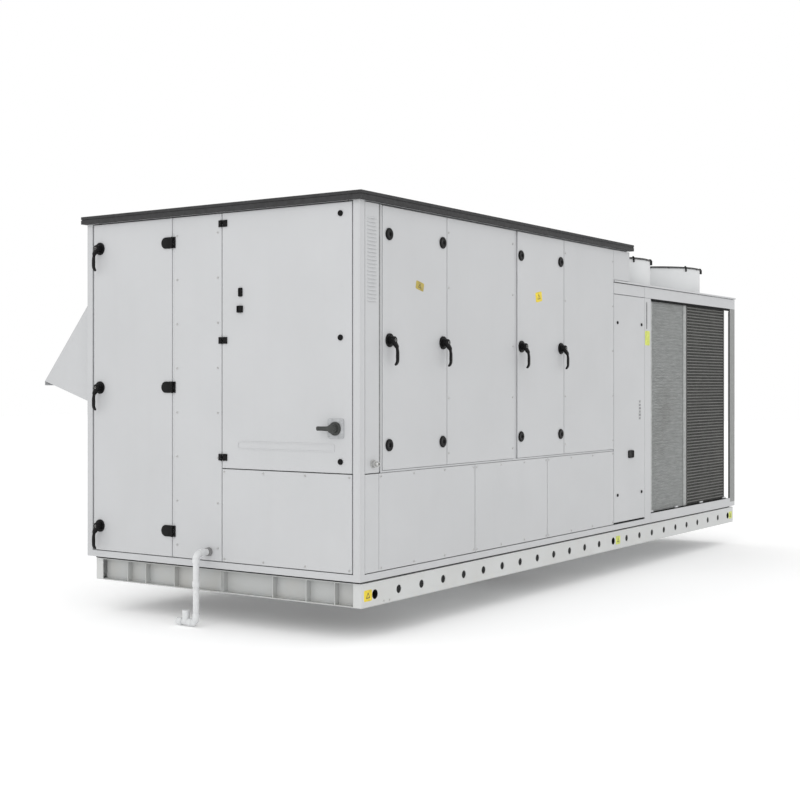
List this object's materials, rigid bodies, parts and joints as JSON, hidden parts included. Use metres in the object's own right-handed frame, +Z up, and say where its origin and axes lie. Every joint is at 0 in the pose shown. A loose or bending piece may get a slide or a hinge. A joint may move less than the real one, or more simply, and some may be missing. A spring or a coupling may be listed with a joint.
{
  "type": "packaged rooftop air-conditioning unit",
  "caption": "Rooftop air-conditioning unit: insulated casing with doors and control cabinet on a steel base, and a condenser section with axial fans, coils and scroll compressors.",
  "frame": {"origin": "underside of the base, at the centre of its middle cross beam", "axes": "+X along the unit from the control cabinet end to the condenser end, +Y from the front long side to the hood side, +Z up"},
  "size_m": [6.224, 2.846, 2.611],
  "materials": {
    "panel_paint": "light grey powder coat, satin",
    "base_paint": "light grey powder coat, satin",
    "trim_paint": "dark grey coated sheet, matt",
    "galvanised": "galvanised sheet",
    "stainless": "stainless sheet",
    "zinc": "zinc-plated",
    "grey_pvc": "light grey pipe",
    "filter_board": "filter frame",
    "coil_fins": "aluminium fins",
    "coil_tubes": "dark fins and tubes",
    "wheel_aluminium": "mill finish",
    "switchgear_plastic": "moulded devices",
    "guard_wire": "black coated wire",
    "motor_paint": "black coat",
    "rotor_paint": "black coated cast blades",
    "compressor_paint": "black enamel",
    "foot_rubber": "moulded rubber",
    "copper": "drawn copper tube",
    "isolator_grey": "moulded grip",
    "black_plastic": "moulded black plastic"
  },
  "bodies": {
    "unit": {"base_side_rails": "base_paint", "base_cross_members": "base_paint", "lifting_sleeves": "base_paint", "rail_hole_plugs": "black_plastic", "floor_deck": "galvanised", "casing_frame": "panel_paint", "wall_panels": "panel_paint", "louvre_panel": "panel_paint", "inner_bulkheads": "galvanised", "roof_panel": "panel_paint", "roof_trim": "trim_paint", "drain_pipe": "grey_pvc", "drain_pan": "stainless", "filter_cells": "filter_board", "evaporator_coil": "coil_fins", "supply_fan_mounts": "galvanised", "control_switchgear": "switchgear_plastic", "damper_frame": "galvanised", "hood_shell": "panel_paint", "condenser_frame": "panel_paint", "condenser_panels": "panel_paint", "fan_deck": "panel_paint", "fan_shrouds": "panel_paint", "fan_guards": "guard_wire", "fan_motors": "motor_paint", "condenser_coils_light": "coil_fins", "condenser_coils_dark": "coil_tubes", "compressors": "compressor_paint", "compressor_feet": "foot_rubber", "refrigerant_pipes": "copper", "fixed_fittings": "black_plastic", "panel_fasteners": "zinc"},
    "end_door": {"end_door": "panel_paint", "end_door_fittings": "black_plastic"},
    "control_door": {"control_door": "panel_paint", "control_door_fittings": "black_plastic"},
    "isolator": {"isolator_handle": "isolator_grey"},
    "access_door_a": {"access_door_a": "panel_paint", "access_door_a_fittings": "black_plastic"},
    "access_door_b": {"access_door_b": "panel_paint", "access_door_b_fittings": "black_plastic"},
    "end_lever_low": {"end_lever_low": "black_plastic"},
    "control_lock_low": {"control_lock_low": "black_plastic"},
    "end_lever_middle": {"end_lever_middle": "black_plastic"},
    "control_lock_middle": {"control_lock_middle": "black_plastic"},
    "end_lever_high": {"end_lever_high": "black_plastic"},
    "control_lock_high": {"control_lock_high": "black_plastic"},
    "lever_a_left": {"lever_a_left": "black_plastic"},
    "lever_a_right": {"lever_a_right": "black_plastic"},
    "lever_b_left": {"lever_b_left": "black_plastic"},
    "lever_b_right": {"lever_b_right": "black_plastic"},
    "fan_rotor_1": {"fan_rotor_1": "rotor_paint"},
    "fan_rotor_2": {"fan_rotor_2": "rotor_paint"},
    "fan_rotor_3": {"fan_rotor_3": "rotor_paint"},
    "fan_rotor_4": {"fan_rotor_4": "rotor_paint"},
    "supply_wheel_front": {"supply_fan_wheel_front": "wheel_aluminium"},
    "supply_wheel_back": {"supply_fan_wheel_back": "wheel_aluminium"},
    "damper_blade_1": {"damper_blade_1": "wheel_aluminium"},
    "damper_blade_2": {"damper_blade_2": "wheel_aluminium"},
    "damper_blade_3": {"damper_blade_3": "wheel_aluminium"}
  },
  "joints": [
    {"name": "end_door_swing", "type": "hinge", "parent": "unit", "child": "end_door", "pos_m": [-3.049, 0.366, 1.281], "axis": [0, 0, 1], "range_deg": [0, 95]},
    {"name": "control_door_swing", "type": "hinge", "parent": "unit", "child": "control_door", "pos_m": [-3.049, -0.047, 1.571], "axis": [0, 0, -1], "range_deg": [0, 95]},
    {"name": "isolator_turn", "type": "hinge", "parent": "control_door", "child": "isolator", "pos_m": [-3.04, -0.93, 1.04], "axis": [1, 0, 0], "range_deg": [0, 90]},
    {"name": "end_lever_low_turn", "type": "hinge", "parent": "end_door", "child": "end_lever_low", "pos_m": [-3.04, 1.023, 0.361], "axis": [-1, 0, 0], "range_deg": [0, 90]},
    {"name": "end_lever_middle_turn", "type": "hinge", "parent": "end_door", "child": "end_lever_middle", "pos_m": [-3.04, 1.023, 1.277], "axis": [-1, 0, 0], "range_deg": [0, 90]},
    {"name": "end_lever_high_turn", "type": "hinge", "parent": "end_door", "child": "end_lever_high", "pos_m": [-3.04, 1.023, 2.197], "axis": [-1, 0, 0], "range_deg": [0, 90]},
    {"name": "control_lock_low_turn", "type": "hinge", "parent": "control_door", "child": "control_lock_low", "pos_m": [-3.04, -0.962, 0.847], "axis": [-1, 0, 0], "range_deg": [0, 90]},
    {"name": "control_lock_middle_turn", "type": "hinge", "parent": "control_door", "child": "control_lock_middle", "pos_m": [-3.04, -0.962, 1.57], "axis": [-1, 0, 0], "range_deg": [0, 90]},
    {"name": "control_lock_high_turn", "type": "hinge", "parent": "control_door", "child": "control_lock_high", "pos_m": [-3.04, -0.962, 2.293], "axis": [-1, 0, 0], "range_deg": [0, 90]},
    {"name": "access_door_a_lift_off", "type": "slide", "parent": "unit", "child": "access_door_a", "axis": [0, -1, 0], "range_m": [0, 0.6]},
    {"name": "access_door_b_lift_off", "type": "slide", "parent": "unit", "child": "access_door_b", "axis": [0, -1, 0], "range_m": [0, 0.6]},
    {"name": "lever_a_left_turn", "type": "hinge", "parent": "access_door_a", "child": "lever_a_left", "pos_m": [-2.741, -1.1, 1.56], "axis": [0, -1, 0], "range_deg": [0, 90]},
    {"name": "lever_a_right_turn", "type": "hinge", "parent": "access_door_a", "child": "lever_a_right", "pos_m": [-2.146, -1.1, 1.56], "axis": [0, 1, 0], "range_deg": [0, 90]},
    {"name": "lever_b_left_turn", "type": "hinge", "parent": "access_door_b", "child": "lever_b_left", "pos_m": [-1.128, -1.1, 1.56], "axis": [0, -1, 0], "range_deg": [0, 90]},
    {"name": "lever_b_right_turn", "type": "hinge", "parent": "access_door_b", "child": "lever_b_right", "pos_m": [-0.538, -1.1, 1.56], "axis": [0, 1, 0], "range_deg": [0, 90]},
    {"name": "fan_1_spin", "type": "hinge", "parent": "unit", "child": "fan_rotor_1", "pos_m": [1.187, -0.555, 2.17], "axis": [0, 0, 1], "continuous": true},
    {"name": "fan_2_spin", "type": "hinge", "parent": "unit", "child": "fan_rotor_2", "pos_m": [1.187, 0.6, 2.17], "axis": [0, 0, 1], "continuous": true},
    {"name": "fan_3_spin", "type": "hinge", "parent": "unit", "child": "fan_rotor_3", "pos_m": [2.31, -0.555, 2.17], "axis": [0, 0, 1], "continuous": true},
    {"name": "fan_4_spin", "type": "hinge", "parent": "unit", "child": "fan_rotor_4", "pos_m": [2.31, 0.6, 2.17], "axis": [0, 0, 1], "continuous": true},
    {"name": "supply_wheel_front_spin", "type": "hinge", "parent": "unit", "child": "supply_wheel_front", "pos_m": [-0.94, -0.46, 1.35], "axis": [1, 0, 0], "continuous": true},
    {"name": "supply_wheel_back_spin", "type": "hinge", "parent": "unit", "child": "supply_wheel_back", "pos_m": [-0.94, 0.505, 1.35], "axis": [1, 0, 0], "continuous": true},
    {"name": "damper_blade_1_turn", "type": "hinge", "parent": "unit", "child": "damper_blade_1", "pos_m": [-2.34, 1.105, 1.307], "axis": [1, 0, 0], "range_deg": [0, 90]},
    {"name": "damper_blade_2_turn", "type": "hinge", "parent": "unit", "child": "damper_blade_2", "pos_m": [-2.34, 1.105, 1.541], "axis": [1, 0, 0], "range_deg": [0, 90]},
    {"name": "damper_blade_3_turn", "type": "hinge", "parent": "unit", "child": "damper_blade_3", "pos_m": [-2.34, 1.105, 1.775], "axis": [1, 0, 0], "range_deg": [0, 90]}
  ],
  "couplings": [
    {"joint": "damper_blade_2_turn", "follows": "damper_blade_1_turn", "ratio": 1},
    {"joint": "damper_blade_3_turn", "follows": "damper_blade_1_turn", "ratio": 1}
  ]
}
